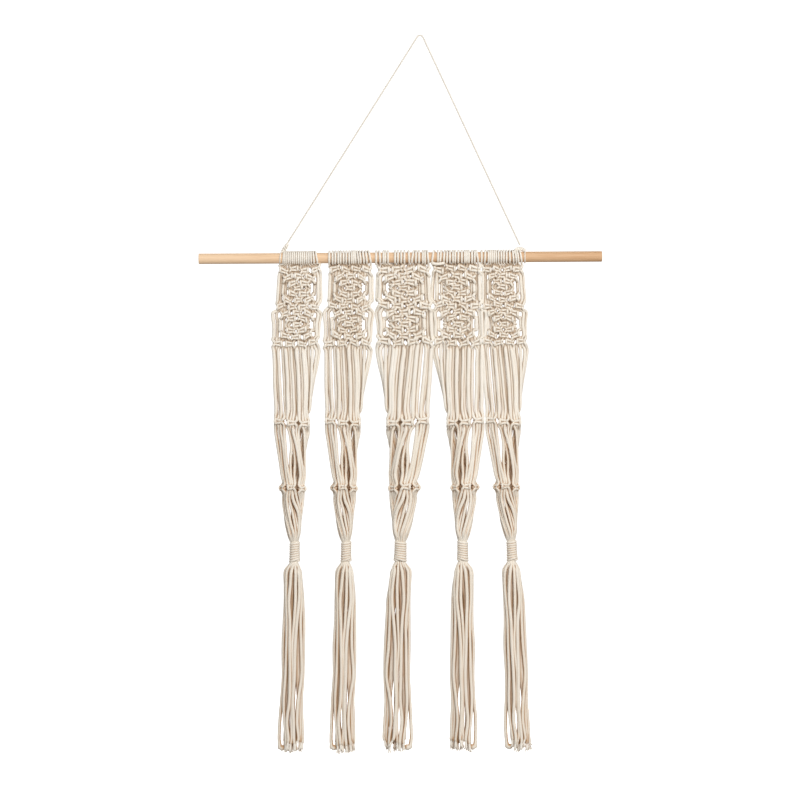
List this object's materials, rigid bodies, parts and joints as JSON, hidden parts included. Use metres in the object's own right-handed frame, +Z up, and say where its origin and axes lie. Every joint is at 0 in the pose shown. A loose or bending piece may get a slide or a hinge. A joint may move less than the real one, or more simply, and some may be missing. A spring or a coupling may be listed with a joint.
{
  "type": "macrame wall hanging with wooden rod",
  "caption": "Macrame wall hanging: knotted cotton cord panels with bound, fringed ends, looped over a round wooden rod that hangs by a thin cord.",
  "frame": {"origin": "the point where the hanging cord bears on its nail, at the underside of the cord", "axes": "+Z up, +X to the right as seen from the front, the front faces -Y"},
  "size_m": [0.61, 0.033, 1.0851],
  "materials": {
    "rod_wood": "plain sanded light hardwood dowel, satin",
    "cotton_cord": "natural unbleached cotton cord, matt",
    "hanging_cord": "thin natural cotton twine, matt"
  },
  "bodies": {
    "root": {"rod": "rod_wood", "hanger_cord": "hanging_cord", "tie_left": "hanging_cord", "tie_right": "hanging_cord", "panel_1": "cotton_cord", "panel_2": "cotton_cord", "panel_3": "cotton_cord", "panel_4": "cotton_cord", "panel_5": "cotton_cord", "binding_1": "cotton_cord", "binding_2": "cotton_cord", "binding_3": "cotton_cord", "binding_4": "cotton_cord", "binding_5": "cotton_cord", "fringe_1": "cotton_cord", "fringe_2": "cotton_cord", "fringe_3": "cotton_cord", "fringe_4": "cotton_cord", "fringe_5": "cotton_cord"}
  },
  "joints": []
}
